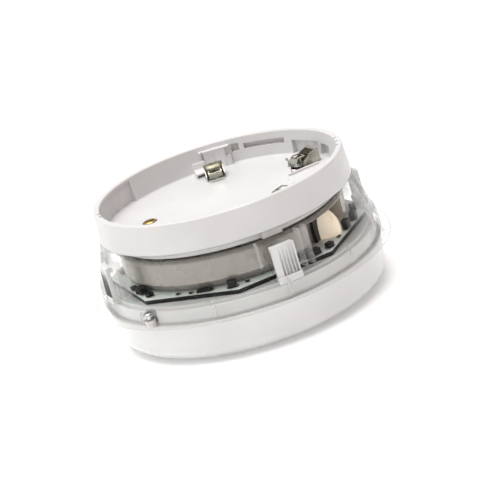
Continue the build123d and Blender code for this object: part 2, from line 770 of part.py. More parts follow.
MESH_T = 0.4

with BuildPart() as dust_mesh:
    with BuildSketch(Plane.XY.offset(COVER_INSIDE_Z)):
        Circle(CHAMBER_R)
    extrude(amount=MESH_T)
save(dust_mesh.part, "dust_mesh")

with BuildPart() as cover_gasket:
    with BuildSketch(Plane.XY.offset(COVER_INSIDE_Z + MESH_T)):
        Circle(CHAMBER_R)
        Circle(CHAMBER_R - 2.5, mode=Mode.SUBTRACT)
    extrude(amount=HORN_TOP_Z - HORN_T - COVER_INSIDE_Z - MESH_T)
save(cover_gasket.part, "cover_gasket")
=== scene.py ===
# %% [markdown]
# # A horn strobe, dressed for its portrait
#
# A horn strobe is the round device that a fire alarm puts on the ceiling. It is
# held by a base that twists into its back, it flashes through a clear ring round
# its waist, and it sounds through slots in its front. Here it stands on its
# front, so we look down into its back.
#
# The design is loaded first, as a fixed frame, and nothing in it moves. Every
# visible piece is then modelled again with finer edges and details, and every
# hidden piece keeps its plain shape and gets a proper finish.

from math import cos, radians, sin

import bpy
from mathutils import Matrix, Vector


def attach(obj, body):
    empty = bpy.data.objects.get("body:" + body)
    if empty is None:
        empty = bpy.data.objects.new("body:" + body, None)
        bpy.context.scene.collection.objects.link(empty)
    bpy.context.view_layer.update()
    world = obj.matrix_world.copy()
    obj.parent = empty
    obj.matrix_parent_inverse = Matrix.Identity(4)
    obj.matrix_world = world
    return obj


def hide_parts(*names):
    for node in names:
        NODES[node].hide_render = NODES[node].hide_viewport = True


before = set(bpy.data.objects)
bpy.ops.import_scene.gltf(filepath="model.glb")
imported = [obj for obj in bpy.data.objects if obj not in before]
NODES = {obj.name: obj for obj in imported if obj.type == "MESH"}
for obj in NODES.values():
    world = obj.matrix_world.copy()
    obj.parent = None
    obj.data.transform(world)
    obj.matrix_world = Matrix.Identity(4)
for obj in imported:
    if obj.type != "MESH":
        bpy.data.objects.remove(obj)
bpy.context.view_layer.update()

# %% [markdown]
# ## The camera first
#
# A long lens a little above the rim shows the floor of the recess and the clear
# ring at once. The camera is rolled, so the device leans in the picture while it
# stands level on its bench. It looks at a point a few millimetres off the axis,
# which places the device left of the middle, and its shift stays at zero.

# %% Camera
MM = 0.001
CAMERA_HEIGHT = radians(18.0)
CAMERA_ROLL = radians(16.5)
CAMERA_DISTANCE = 872 * MM
CAMERA_LENS = 157.8
AIM_RIGHT = 5.6 * MM
AIM_DOWN = 4.1 * MM
WAIST = Vector((0, 0, -28 * MM))


def add_camera():
    """Add the camera and make it the scene's own."""
    back = Vector((0, -cos(CAMERA_HEIGHT), sin(CAMERA_HEIGHT)))
    level_right = Vector((1, 0, 0))
    level_up = back.cross(level_right)
    right = level_right * cos(CAMERA_ROLL) - level_up * sin(CAMERA_ROLL)
    up = level_right * sin(CAMERA_ROLL) + level_up * cos(CAMERA_ROLL)
    aim = WAIST + right * AIM_RIGHT - up * AIM_DOWN
    bpy.ops.object.camera_add()
    camera = bpy.context.object
    camera.name = "portrait_camera"
    camera.matrix_world = Matrix.Translation(aim + back * CAMERA_DISTANCE) @ Matrix(
        (right, up, back)
    ).transposed().to_4x4()
    camera.data.lens = CAMERA_LENS
    camera.data.sensor_width = 36
    camera.data.clip_start = 0.01
    bpy.context.scene.camera = camera
    return camera


CAMERA = add_camera()
print("camera at", [round(v, 3) for v in CAMERA.matrix_world.translation])

# %% [markdown]
# ## Tools for the hand
#
# Most of the device is round, so most of it is turned like a bowl on a lathe: an
# outline is drawn point by point by extruding one vertex, and spun about the
# axis. Pockets, windows and ribs are blocks of the same roundness, made by
# spinning a rectangle through a few degrees, then cut away or added.
#
# Each helper below is one such habit of the hand. All sizes go in as
# millimetres and become metres at the last moment.


# %% Select, name and modify
def work_on(piece):
    """Make one piece the only one selected, and the active one."""
    bpy.ops.object.select_all(action="DESELECT")
    piece.select_set(True)
    bpy.context.view_layer.objects.active = piece


def named(name):
    """Name the primitive that was added last and return it."""
    piece = bpy.context.object
    piece.name = name
    piece.data.name = name
    return piece


def modify(piece, kind, **settings):
    """Add one modifier, set it up and apply it."""
    work_on(piece)
    step = piece.modifiers.new(kind, kind)
    for key, value in settings.items():
        setattr(step, key, value)
    bpy.ops.object.modifier_apply(modifier=step.name)
    return piece


def settle(piece):
    """Bake the object's place into its mesh."""
    work_on(piece)
    bpy.ops.object.transform_apply(location=True, rotation=True, scale=True)
    return piece


def joined(name, pieces):
    """Join several pieces into one."""
    work_on(pieces[0])
    for piece in pieces:
        piece.select_set(True)
    bpy.ops.object.join()
    return named(name)


# %% Turn an outline on the lathe
STEPS = 144


def arc(centre, reach, start, stop, count=6):
    """Return points on an arc or an oval arc, in degrees from outwards."""
    across, rise = reach if isinstance(reach, tuple) else (reach, reach)
    turns = [radians(start + (stop - start) * k / count) for k in range(count + 1)]
    return [(centre[0] + across * cos(t), centre[1] + rise * sin(t)) for t in turns]


def turned(name, outline, sweep=360.0, start=0.0, steps=STEPS, closed=True):
    """Draw an outline of (radius, height) points and spin it about the axis."""
    bpy.ops.object.select_all(action="DESELECT")
    bpy.ops.mesh.primitive_plane_add(size=MM)
    piece = named(name)
    bpy.ops.object.mode_set(mode="EDIT")
    bpy.ops.mesh.merge(type="CENTER")
    bpy.ops.transform.translate(value=(outline[0][0] * MM, 0, outline[0][1] * MM))
    for here, there in zip(outline, outline[1:]):
        step = ((there[0] - here[0]) * MM, 0, (there[1] - here[1]) * MM)
        bpy.ops.mesh.extrude_vertices_move(TRANSFORM_OT_translate={"value": step})
    bpy.ops.mesh.select_all(action="SELECT")
    if closed:
        bpy.ops.mesh.edge_face_add()
    if closed and sweep == 360:
        bpy.ops.mesh.delete(type="ONLY_FACE")
        bpy.ops.mesh.select_all(action="SELECT")
    bpy.ops.mesh.spin(steps=steps, angle=-radians(sweep), axis=(0, 0, 1))
    bpy.ops.mesh.select_all(action="SELECT")
    bpy.ops.mesh.remove_doubles(threshold=MM / 1000)
    bpy.ops.mesh.normals_make_consistent(inside=False)
    bpy.ops.object.mode_set(mode="OBJECT")
    piece.rotation_euler.z = radians(start)
    return settle(piece)


def band(name, inner, outer, low, high, start, stop):
    """Make a block bent round the axis, between two angles."""
    outline = [(inner, low), (outer, low), (outer, high), (inner, high)]
    count = max(1, round((stop - start) / 2.5))
    return turned(name, outline, sweep=stop - start, start=start, steps=count)


# %% Blocks, pegs and plates that stand at an angle round the axis
def block(name, outwards, sideways, upwards, angle=0.0):
    """Make a box from three (low, high) ranges, turned about the axis."""
    bpy.ops.object.select_all(action="DESELECT")
    middle = [(low + high) / 2 * MM for low, high in (outwards, sideways, upwards)]
    bpy.ops.mesh.primitive_cube_add(size=1, location=middle)
    piece = named(name)
    piece.scale = [(high - low) * MM for low, high in (outwards, sideways, upwards)]
    settle(piece)
    piece.rotation_euler.z = radians(angle)
    return settle(piece)


def peg(name, radius, low, high, place=(0, 0), sides=40):
    """Make an upright round peg at a place on the plan."""
    bpy.ops.object.select_all(action="DESELECT")
    bpy.ops.mesh.primitive_cylinder_add(
        vertices=sides,
        radius=radius * MM,
        depth=(high - low) * MM,
        location=(place[0] * MM, place[1] * MM, (low + high) / 2 * MM),
    )
    return settle(named(name))


def plate(name, outline, low, high, angle=0.0, upright=False):
    """Extrude a flat outline. An upright one is drawn as (outwards, up)."""
    bpy.ops.object.select_all(action="DESELECT")
    bpy.ops.mesh.primitive_plane_add(size=MM)
    piece = named(name)
    bpy.ops.object.mode_set(mode="EDIT")
    bpy.ops.mesh.merge(type="CENTER")

    def flat(point, rise):
        if upright:
            return Vector((point[0], rise, point[1])) * MM
        return Vector((point[0], point[1], rise)) * MM

    bpy.ops.transform.translate(value=flat(outline[0], low))
    for here, there in zip(outline, outline[1:]):
        step = flat(there, low) - flat(here, low)
        bpy.ops.mesh.extrude_vertices_move(TRANSFORM_OT_translate={"value": step})
    bpy.ops.mesh.select_all(action="SELECT")
    bpy.ops.mesh.edge_face_add()
    rise = flat((0, 0), high) - flat((0, 0), low)
    bpy.ops.mesh.extrude_region_move(TRANSFORM_OT_translate={"value": rise})
    bpy.ops.mesh.select_all(action="SELECT")
    bpy.ops.mesh.normals_make_consistent(inside=False)
    bpy.ops.object.mode_set(mode="OBJECT")
    piece.rotation_euler.z = radians(angle)
    return settle(piece)


def polar(radius, angle):
    """Return the place on the plan at a radius and an angle in degrees."""
    return (radius * cos(radians(angle)), radius * sin(radians(angle)))


# %% Cut, add, soften and copy
def carve(piece, tools, operation="DIFFERENCE"):
    """Cut tools out of a piece, or add them to it, and throw them away."""
    for tool in tools:
        modify(piece, "BOOLEAN", operation=operation, object=tool, solver="EXACT")
        bpy.data.objects.remove(tool)
    return piece


def soften(piece, width, segments=2, angle=35):
    """Round the sharp edges, as a mould does, and shade the rest smooth."""
    modify(
        piece,
        "BEVEL",
        width=width * MM,
        segments=segments,
        limit_method="ANGLE",
        angle_limit=radians(angle),
        use_clamp_overlap=True,
    )
    work_on(piece)
    bpy.ops.object.shade_smooth_by_angle(angle=radians(angle))
    modify(piece, "WEIGHTED_NORMAL", keep_sharp=True)
    return piece


def copy_turned(piece, name, angle):
    """Copy a piece with a mesh of its own and turn it about the axis."""
    twin = piece.copy()
    twin.data = piece.data.copy()
    bpy.context.scene.collection.objects.link(twin)
    twin.name = name
    twin.data.name = name
    twin.rotation_euler.z = radians(angle)
    return settle(twin)


def count_triangles(piece):
    """Return how many triangles a piece has."""
    return sum(len(face.vertices) - 2 for face in piece.data.polygons)


def place_piece(piece, finish, body="housing", stands_for=()):
    """Give a finished piece its finish, its body and the nodes it stands for."""
    piece.data.materials.clear()
    piece.data.materials.append(finish)
    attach(piece, body)
    if stands_for:
        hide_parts(*stands_for)
    print(f"{piece.name}: {count_triangles(piece)} triangles")
    return piece


# %% [markdown]
# ## Finishes
#
# A moulding is never one flat colour. Its tone drifts a little over the hand's
# width, its skin has a fine tooth from the spark-eroded mould, and its gloss
# varies where it was polished. Each finish starts from the same small set of
# nodes: a wide soft noise moves the colour between two near tones, a middle one
# moves the roughness, and a fine one lifts the surface. All of them read Object
# coordinates, so the pattern stays put on the piece.


# %% A finish with drift, gloss and tooth
def new_finish(name, **sockets):
    """Start a material and set plain values on its shader's own sockets."""
    finish = bpy.data.materials.new(name)
    finish.use_nodes = True
    shader = finish.node_tree.nodes["Principled BSDF"]
    for key, value in sockets.items():
        shader.inputs[key.replace("_", " ")].default_value = value
    return finish, finish.node_tree, shader


def noise(tree, scale, detail=2.0, stretch=(1, 1, 1)):
    """Add a noise on Object coordinates, with an optional stretch."""
    place = tree.nodes.new("ShaderNodeTexCoord")
    frame_of_noise = tree.nodes.new("ShaderNodeMapping")
    frame_of_noise.inputs["Scale"].default_value = stretch
    pattern = tree.nodes.new("ShaderNodeTexNoise")
    pattern.inputs["Scale"].default_value = scale
    pattern.inputs["Detail"].default_value = detail
    tree.links.new(place.outputs["Object"], frame_of_noise.inputs["Vector"])
    tree.links.new(frame_of_noise.outputs["Vector"], pattern.inputs["Vector"])
    return pattern.outputs["Fac"]


def ramp(tree, value, stops, smooth=False):
    """Turn a value into a colour or a grey by stops of (position, colour)."""
    node = tree.nodes.new("ShaderNodeValToRGB")
    if smooth:
        node.color_ramp.interpolation = "EASE"
    points = node.color_ramp.elements
    while len(points) < len(stops):
        points.new(0.5)
    for point, (position, colour) in zip(points, stops):
        point.position = position
        point.color = (*colour, 1) if hasattr(colour, "__len__") else (colour,) * 3 + (1,)
    tree.links.new(value, node.inputs["Fac"])
    return node.outputs["Color"]


def tooth(tree, shader, value, strength, distance=0.02):
    """Lift the surface by a value, in millimetres of distance."""
    bump = tree.nodes.new("ShaderNodeBump")
    bump.inputs["Strength"].default_value = strength
    bump.inputs["Distance"].default_value = distance * MM
    tree.links.new(value, bump.inputs["Height"])
    tree.links.new(bump.outputs["Normal"], shader.inputs["Normal"])
    return bump


def moulded(name, dark, light, rough=(0.3, 0.42), grain=900, lift=0.25, **sockets):
    """Make a moulded plastic that drifts between two near tones."""
    finish, tree, shader = new_finish(name, **sockets)
    drift = ramp(tree, noise(tree, 38, 3), [(0.35, dark), (0.65, light)])
    tree.links.new(drift, shader.inputs["Base Color"])
    gloss = ramp(tree, noise(tree, 120, 4), [(0.3, rough[0]), (0.7, rough[1])])
    tree.links.new(gloss, shader.inputs["Roughness"])
    tooth(tree, shader, noise(tree, grain, 3), lift)
    return finish


WHITE_HOUSING = moulded(
    "white_housing",
    (0.655, 0.645, 0.64),
    (0.70, 0.69, 0.685),
    Subsurface_Weight=0.06,
    Subsurface_Scale=0.004,
    IOR=1.49,
)
WHITE_COVER = moulded(
    "white_cover",
    (0.67, 0.665, 0.66),
    (0.72, 0.715, 0.71),
    rough=(0.16, 0.24),
    grain=500,
    lift=0.08,
    Subsurface_Weight=0.15,
    Subsurface_Scale=0.006,
    Coat_Weight=0.35,
    Coat_Roughness=0.12,
    IOR=1.5,
)
GREY_DRUM = moulded(
    "grey_drum",
    (0.355, 0.335, 0.31),
    (0.375, 0.355, 0.33),
    rough=(0.26, 0.29),
    grain=700,
    lift=0.02,
    Metallic=0.3,
)
print("moulded finishes made")

# %% [markdown]
# ### Clear, milky and soft finishes
#
# The lens is clear plastic. Seen straight on it lets nearly all light through,
# and towards its edges it turns into a bending, shining surface: the share
# between the two follows the slant of the surface. Light that grazes it also
# goes a longer way through the plastic, and the light let through at the edges
# is darkened further by painted shade, which stands in for the dark lines that
# refraction draws at a clear edge. Its snap tongues are thicker and a little
# frosted by tool marks, so they read as pale grey. The lamps are soft cream
# silicone over a phosphor, warmer and darker in small spots where the dice sit.
# They are not lit, and their faint glow is painted light that lifts them out of
# the shade of their niches.


# %% Clear, milky and soft finishes
def clear(name, tint, facing, grazing, edge_shade_tone, rough=0.03, **sockets):
    """Make a clear plastic that lets light through, less so at its edges, where painted shade darkens
    it.
    """
    finish, tree, shader = new_finish(
        name,
        Base_Color=(*tint, 1),
        IOR=1.03,
        Coat_Weight=1.0,
        Coat_IOR=1.5,
        Coat_Roughness=rough,
        **sockets,
    )
    streaks = noise(tree, 60, 3, (1, 1, 0.25))
    gloss = ramp(tree, streaks, [(0.3, rough), (0.75, rough + 0.05)])
    tree.links.new(gloss, shader.inputs["Roughness"])
    through = tree.nodes.new("ShaderNodeBsdfTransparent")
    slant = tree.nodes.new("ShaderNodeLayerWeight")
    slant.inputs["Blend"].default_value = 0.5
    # The edge tone is painted shade: the light let through darkens towards grazing edges, a little for
    # the longer path and mostly in place of the dark lines that refraction draws there.
    edge = [value * edge_shade_tone for value in tint]
    depth = ramp(tree, slant.outputs["Facing"], [(0.62, tint), (0.99, edge)])
    tree.links.new(depth, through.inputs["Color"])
    share = ramp(tree, slant.outputs["Facing"], [(0.35, facing), (0.8, grazing), (0.98, 0.6)])
    both = tree.nodes.new("ShaderNodeMixShader")
    tree.links.new(share, both.inputs["Fac"])
    tree.links.new(through.outputs["BSDF"], both.inputs[1])
    tree.links.new(shader.outputs["BSDF"], both.inputs[2])
    output = tree.nodes["Material Output"]
    tree.links.new(both.outputs["Shader"], output.inputs["Surface"])
    return finish


CLEAR_LENS = clear("clear_lens", (0.985, 0.985, 0.98), 0.012, 0.3, 0.3, Transmission_Weight=0.75)
RIB_LENS = clear("rib_lens", (0.96, 0.96, 0.955), 0.2, 0.55, 0.6, Transmission_Weight=0.4)
FROSTED_LENS = clear(
    "frosted_lens", (0.94, 0.94, 0.935), 0.75, 0.85, 0.9, rough=0.15, Transmission_Weight=0.12
)


def cream_lamp():
    """Make the soft lamp, cream with warmer spots over its dice and a faint painted glow."""
    finish, tree, shader = new_finish(
        "cream_lamp",
        Subsurface_Weight=0.4,
        Subsurface_Scale=0.004,
        IOR=1.42,
        Coat_Weight=0.2,
        # The emission is a painted glow: the lamps are not lit, and it lifts them out of the shade in
        # their niches.
        Emission_Color=(1.0, 0.86, 0.70, 1),
        Emission_Strength=0.36,
    )
    wide = noise(tree, 190, 2, (1, 1, 0.6))
    colour = ramp(
        tree,
        wide,
        [(0.24, (0.70, 0.50, 0.26)), (0.34, (0.93, 0.80, 0.62)), (0.6, (0.96, 0.88, 0.76))],
    )
    tree.links.new(colour, shader.inputs["Base Color"])
    gloss = ramp(tree, noise(tree, 300, 3), [(0.3, 0.3), (0.7, 0.48)])
    tree.links.new(gloss, shader.inputs["Roughness"])
    tooth(tree, shader, noise(tree, 700, 2), 0.3)
    return finish


CREAM_LAMP = cream_lamp()
SOFT_SEAL = moulded(
    "soft_seal", (0.30, 0.30, 0.30), (0.38, 0.38, 0.38), rough=(0.6, 0.8), grain=1400, lift=0.6
)
BLACK_MOULDING = moulded(
    "black_moulding",
    (0.008, 0.009, 0.009),
    (0.02, 0.02, 0.02),
    rough=(0.35, 0.5),
    grain=1500,
    Specular_IOR_Level=0.15,
)
PIEZO_WHITE = moulded(
    "piezo_white", (0.70, 0.69, 0.66), (0.78, 0.77, 0.74), rough=(0.5, 0.65), grain=1600
)
print("clear and soft finishes made")

# %% [markdown]
# ### Metals
#
# Pressed metal shows the direction in which it was rolled, and fingers and the
# press tool leave it uneven. So each metal has a stretched noise in its
# roughness, a slow drift in its colour, and tiny dents.


# %% Metals
def metal(name, dark, light, rough, stretch=(1, 1, 1), grain=900, lift=0.15):
    """Make a bare or plated metal with a rolled or turned grain."""
    finish, tree, shader = new_finish(name, Metallic=1.0)
    drift = ramp(tree, noise(tree, 140, 3, stretch), [(0.3, dark), (0.7, light)])
    tree.links.new(drift, shader.inputs["Base Color"])
    gloss = ramp(tree, noise(tree, 420, 4, stretch), [(0.3, rough[0]), (0.7, rough[1])])
    tree.links.new(gloss, shader.inputs["Roughness"])
    tooth(tree, shader, noise(tree, grain, 3, stretch), lift)
    return finish


GOLD_METAL = metal("gold_metal", (0.40, 0.25, 0.08), (0.78, 0.56, 0.24), (0.22, 0.4))
SPRUNG_METAL = metal(
    "sprung_metal", (0.34, 0.32, 0.25), (0.74, 0.72, 0.64), (0.14, 0.3), stretch=(1, 1, 5)
)
TINNED_METAL = metal("tinned_metal", (0.24, 0.23, 0.17), (0.62, 0.61, 0.55), (0.22, 0.42))
CAN_METAL = metal("can_metal", (0.62, 0.62, 0.63), (0.74, 0.74, 0.75), (0.2, 0.3))
ZINC_SCREWS = metal("zinc_screws", (0.55, 0.55, 0.54), (0.74, 0.74, 0.73), (0.2, 0.36), lift=0.3)
print("metals made")

# %% [markdown]
# ### Boards, ferrite and mesh
#
# A board is lacquer over copper: where a track runs beneath, the lacquer is
# raised and a shade lighter. A cell pattern with sharp steps draws the tracks.
# The beacon board wears white lacquer on top, so that it throws the light back,
# and its sawn edge is dark.


# %% Boards, ferrite and mesh
def board(name, lacquer, track, edge, rough=(0.3, 0.45)):
    """Make a lacquered board with raised tracks and a dark sawn edge."""
    finish, tree, shader = new_finish(name, Specular_IOR_Level=0.3)
    place = tree.nodes.new("ShaderNodeTexCoord")
    cells = tree.nodes.new("ShaderNodeTexVoronoi")
    cells.feature = "DISTANCE_TO_EDGE"
    cells.inputs["Scale"].default_value = 230
    tree.links.new(place.outputs["Object"], cells.inputs["Vector"])
    lines = ramp(tree, cells.outputs["Distance"], [(0.04, 1.0), (0.07, 0.0)])
    drift = ramp(tree, noise(tree, 90, 3), [(0.3, lacquer), (0.7, [v * 0.93 for v in lacquer])])
    mix = tree.nodes.new("ShaderNodeMix")
    mix.data_type = "RGBA"
    tree.links.new(lines, mix.inputs[0])
    tree.links.new(drift, mix.inputs[6])
    mix.inputs[7].default_value = (*track, 1)
    facing = tree.nodes.new("ShaderNodeNewGeometry")
    split = tree.nodes.new("ShaderNodeSeparateXYZ")
    tree.links.new(facing.outputs["True Normal"], split.inputs["Vector"])
    level = tree.nodes.new("ShaderNodeMath")
    level.operation = "ABSOLUTE"
    tree.links.new(split.outputs["Z"], level.inputs[0])
    sawn = ramp(tree, level.outputs[0], [(0.45, 0.0), (0.55, 1.0)])
    whole = tree.nodes.new("ShaderNodeMix")
    whole.data_type = "RGBA"
    tree.links.new(sawn, whole.inputs[0])
    whole.inputs[6].default_value = (*edge, 1)
    tree.links.new(mix.outputs[2], whole.inputs[7])
    tree.links.new(whole.outputs[2], shader.inputs["Base Color"])
    gloss = ramp(tree, noise(tree, 260, 3), [(0.3, rough[0]), (0.7, rough[1])])
    tree.links.new(gloss, shader.inputs["Roughness"])
    tooth(tree, shader, lines, 0.35, 0.03)
    return finish


BOARD_GREEN = board("board_green", (0.02, 0.13, 0.06), (0.05, 0.22, 0.10), (0.09, 0.08, 0.04))
BOARD_WHITE = board("board_white", (0.84, 0.91, 0.88), (0.76, 0.84, 0.81), (0.002, 0.003, 0.003))
DARK_FERRITE = moulded(
    "dark_ferrite", (0.03, 0.031, 0.033), (0.07, 0.07, 0.072), rough=(0.5, 0.7), grain=2200, lift=0.7
)


def woven(name):
    """Make a black woven mesh from two crossed waves."""
    finish, tree, shader = new_finish(name, Roughness=0.6)
    place = tree.nodes.new("ShaderNodeTexCoord")
    crossed = tree.nodes.new("ShaderNodeMath")
    crossed.operation = "MAXIMUM"
    for number, direction in enumerate("XY"):
        wave = tree.nodes.new("ShaderNodeTexWave")
        wave.bands_direction = direction
        wave.inputs["Scale"].default_value = 420
        wave.inputs["Distortion"].default_value = 0.6
        tree.links.new(place.outputs["Object"], wave.inputs["Vector"])
        tree.links.new(wave.outputs["Fac"], crossed.inputs[number])
    threads = ramp(tree, crossed.outputs[0], [(0.45, 0.004), (0.8, 0.045)])
    tree.links.new(threads, shader.inputs["Base Color"])
    tooth(tree, shader, crossed.outputs[0], 0.8, 0.1)
    return finish


BLACK_MESH = woven("black_mesh")

# %% [markdown]
# ## Hidden pieces keep their shape
#
# Boards, cans, chips and the sounder are already the right shape in the frame,
# so they only change their finish. One table says which piece wears what.

# %% Dress the pieces that stay
WEARS = {
    "tens_switch_body": BLACK_MOULDING,
    "units_switch_body": BLACK_MOULDING,
    "address_board": BOARD_GREEN,
    "beacon_board": BOARD_WHITE,
    "lamp_carrier_front": BOARD_WHITE,
    "lamp_carrier_rear": BOARD_WHITE,
    "storage_capacitors": CAN_METAL,
    "boost_inductor": DARK_FERRITE,
    "driver_transistors": BLACK_MOULDING,
    "microcontroller": BLACK_MOULDING,
    "board_link_socket": BLACK_MOULDING,
    "board_link_pins": GOLD_METAL,
    "lens_seal": SOFT_SEAL,
    "assembly_screws": ZINC_SCREWS,
    "sounder_chamber": BLACK_MOULDING,
    "piezo_plate": GOLD_METAL,
    "piezo_ceramic": PIEZO_WHITE,
    "piezo_springs": SPRUNG_METAL,
    "horn_plate": BLACK_MOULDING,
    "dust_mesh": BLACK_MESH,
    "cover_gasket": SOFT_SEAL,
}
for node_name, finish in WEARS.items():
    for place in NODES[node_name].material_slots:
        place.material = finish
print(len(WEARS), "pieces dressed")

# %% [markdown]
# ## The rear shell
#
# The rear shell is a shallow bowl: a rim, a wall that leans in a little, and a
# flat floor. Its outline starts and ends on the axis, so the spin closes it by
# itself. The pockets, windows and notches that hold the bayonet are then cut
# out, and the blocks that stop it are added.

# %% Turn the rear shell
FLOOR_Z = -10.2
UNDER_Z = -12.2
shell_outline = [(0, FLOOR_Z), (46.3, FLOOR_Z)]
shell_outline += arc((46.4, FLOOR_Z + 0.6), 0.6, -80, 0, 3)
shell_outline += arc((48.9, -0.6), 0.5, 180, 90, 3)
shell_outline += arc((50.3, -0.7), 0.7, 90, 0, 4)
shell_outline += [(51.7, -11.7), (51.3, UNDER_Z), (50.2, UNDER_Z), (50.2, -10.4)]
shell_outline += [(48.4, -10.4), (48.4, UNDER_Z), (45.2, UNDER_Z), (45.2, -16.0)]
shell_outline += [(43.6, -16.0), (43.6, UNDER_Z), (0, UNDER_Z)]
rear_shell = turned("rear_shell", shell_outline, closed=False)
print(count_triangles(rear_shell), "triangles before cutting")

# %% [markdown]
# The blocks go in first. Each stands against the wall with an upright slot at
# one end and a shallow notch at the other. The first block is drawn once and
# copied round by a third of a turn.

# %% Add the bayonet blocks
block_one = band("bayonet_block", 45.2, 48.2, FLOOR_Z - 0.2, -2.0, 80.2, 96.2)
carve(
    block_one,
    [
        band("end_slot", 44.6, 46.6, -11.0, -1.5, 94.3, 95.2),
        band("corner_notch", 44.6, 46.4, -6.2, -2.5, 79.0, 82.6),
    ],
)
soften(block_one, 0.2)
block_two = copy_turned(block_one, "bayonet_block_two", -120)
block_three = copy_turned(block_one, "bayonet_block_three", 120)
carve(rear_shell, [block_one, block_two, block_three], "UNION")

# %% [markdown]
# A little bracket stands beside the first contact and keeps a plug in line. Its
# side is a curved lip over a slot, drawn as an upright outline. A thin bar
# borders the opening under the second contact.

# %% Add the bracket, the bar and the bosses below
lip = [(37.0, -10.4), (41.8, -10.4), (41.8, -4.4), (40.6, -4.4), (39.6, -6.6), (38.2, -7.7)]
lip += [(37.0, -8.1)]
bracket = plate("bracket", lip, -2.6, 2.6, angle=98.6, upright=True)
carve(bracket, [block("bracket_slot", (36, 39.6), (-2.0, 2.2), (-9.7, -8.7), angle=98.6)])
bar = plate(
    "opening_bar", [(27.6, 3.6), (40.4, 8.9), (40.0, 9.9), (27.2, 4.6)], -10.4, -9.3
)
posts = [
    peg("post", 2.8, -17.0, UNDER_Z + 0.2, polar(40, angle)) for angle in (-80, 10, 100, 190)
]
catches = [
    band("catch", 45.0, 48.2, -15.8, UNDER_Z + 0.2, middle - 6, middle + 4)
    for middle in (18, 108, 198, 288)
]
carve(rear_shell, [bracket], "UNION")
carve(rear_shell, [bar], "UNION")
carve(rear_shell, posts + catches, "UNION")

# %% [markdown]
# Now the cuts. The recessed panel on the left is a long shallow pocket, and the
# two bayonet windows are narrow ones just under the rim. The floor is open
# under each contact, where its leg goes down to the board, and the dials sit in
# two round holes.

# %% Cut the wall and the floor
wall_cuts = [
    band("left_panel", 46.0, 48.9, -10.05, -1.2, 137, 195),
    band("window", 46.0, 49.6, -5.6, -3.3, 50.5, 73),
    band("window_far", 46.0, 49.6, -5.6, -3.3, -69.5, -47),
    band("notch", 46.0, 49.4, -5.8, -2.6, 75.6, 79.6),
    band("wide_pocket", 46.0, 49.2, -10.05, -4.6, 26, 46),
    band("small_pocket", 46.0, 49.0, -9.6, -5.2, 15, 24),
]
carve(rear_shell, wall_cuts)
rim_marks = [
    band("rim_mark", 47.4, 49.6, -1.0, 0.4, angle, angle + 1.6) for angle in (-9, -3, 3, 186, 191)
]
carve(rear_shell, rim_marks)

floor_cuts = [
    plate("opening", [(28.6, 5.6), (39.8, 10.2), (35.6, 16.6), (29.8, 22.0)], -12.6, -9.8),
    peg("dot_hole", 0.6, -11.4, -9.8, (26.6, -0.6), 16),
    peg("tens_hole", 3.1, -12.6, -9.8, (-30.5, -1.8), 48),
    peg("units_hole", 3.1, -12.6, -9.8, (-27.0, -15.5), 48),
]
for angle, root in ((91, 36.0), (-45, 38.0)):
    floor_cuts.append(
        block("leg_opening", (root - 6.2, root - 0.6), (-2.6, 2.6), (-12.6, -9.8), angle)
    )
carve(rear_shell, floor_cuts)
pilots = [peg("pilot", 1.05, -17.4, -11.6, polar(40, angle), 20) for angle in (-80, 10, 100, 190)]
carve(rear_shell, pilots)
soften(rear_shell, 0.12)
place_piece(rear_shell, WHITE_HOUSING, stands_for=["rear_housing"])

# %% [markdown]
# ## The clear ring
#
# The lens is one moulding: a leaning wall, an upright stretch below it and a
# flat flange that rests on the front cap. Thin gussets brace the flange. Four
# windows are cut in the wall, and in each stands a tongue that snaps under the
# rear shell. The tongues are a separate piece here, because they are frosted.

# %% Turn the clear ring
LENS_TOP_Z = -12.5
FLANGE_TOP_Z = -37.0
FLANGE_Z = -39.0
ring_outline = [(49.9, LENS_TOP_Z), (51.7, LENS_TOP_Z), (51.9, LENS_TOP_Z - 0.2)]
ring_outline += [(56.2, -29.0)] + arc((55.4, -31.4), (1.8, 3.0), 45, 0, 4)
ring_outline += arc((57.7, FLANGE_TOP_Z + 0.5), 0.5, 180, 270, 3)
ring_outline += arc((60.1, FLANGE_TOP_Z - 1.0), (0.9, 1.0), 90, -90, 10)
ring_outline += [(55.2, FLANGE_Z), (55.2, -32.4)]
ring_outline += [(54.2, -29.0)]
clear_ring = turned("clear_ring", ring_outline)

LATCHES = (18, 108, 198, 288)
openings = [
    band("tongue_window", 48.0, 62.0, -31.0, -17.0, middle - 7.6, middle + 4.8)
    for middle in LATCHES
]
carve(clear_ring, openings)

# %% Add gussets and screw bosses
gusset_outline = [(56.6, -30.4), (57.0, -30.6), (59.2, -36.97), (57.3, -36.97), (57.22, -32.0)]
gussets = [
    plate("gusset", gusset_outline, -0.45, 0.45, angle, upright=True)
    for angle in range(-165, 195, 30)
    if angle not in (-135, 45)
]
lens_gussets = joined("lens_gussets", gussets)
soften(lens_gussets, 0.2)
place_piece(lens_gussets, RIB_LENS, stands_for=["lens_cover"])
BOSS_SPOTS = [polar(56.6, angle) for angle in (-135, 45)]
boss_outline = [(0, -37.8), (3.0, -37.8)] + arc((2.6, -33.2), 0.4, 0, 90, 3)
boss_outline += [(2.3, -32.8), (2.3, -34.6), (0, -34.6)]
for spot in BOSS_SPOTS:
    boss = turned("boss", boss_outline, steps=40, closed=False)
    boss.location = (spot[0] * MM, spot[1] * MM, 0)
    carve(clear_ring, [settle(boss)], "UNION")
carve(clear_ring, [peg("screw_hole", 1.2, -40, -34, spot, 24) for spot in BOSS_SPOTS])
carve(clear_ring, [peg("lug_room", 2.4, -40, -36.2, spot, 32) for spot in BOSS_SPOTS])
soften(clear_ring, 0.12)
place_piece(clear_ring, CLEAR_LENS, stands_for=["lens_cover"])

# %% [markdown]
# Each tongue is a curved slab with a hook at its top edge and a thick foot, and
# fine upright ribs on its face. Two more ribs stand on its right and one on its
# left, to stiffen the wall round the window.

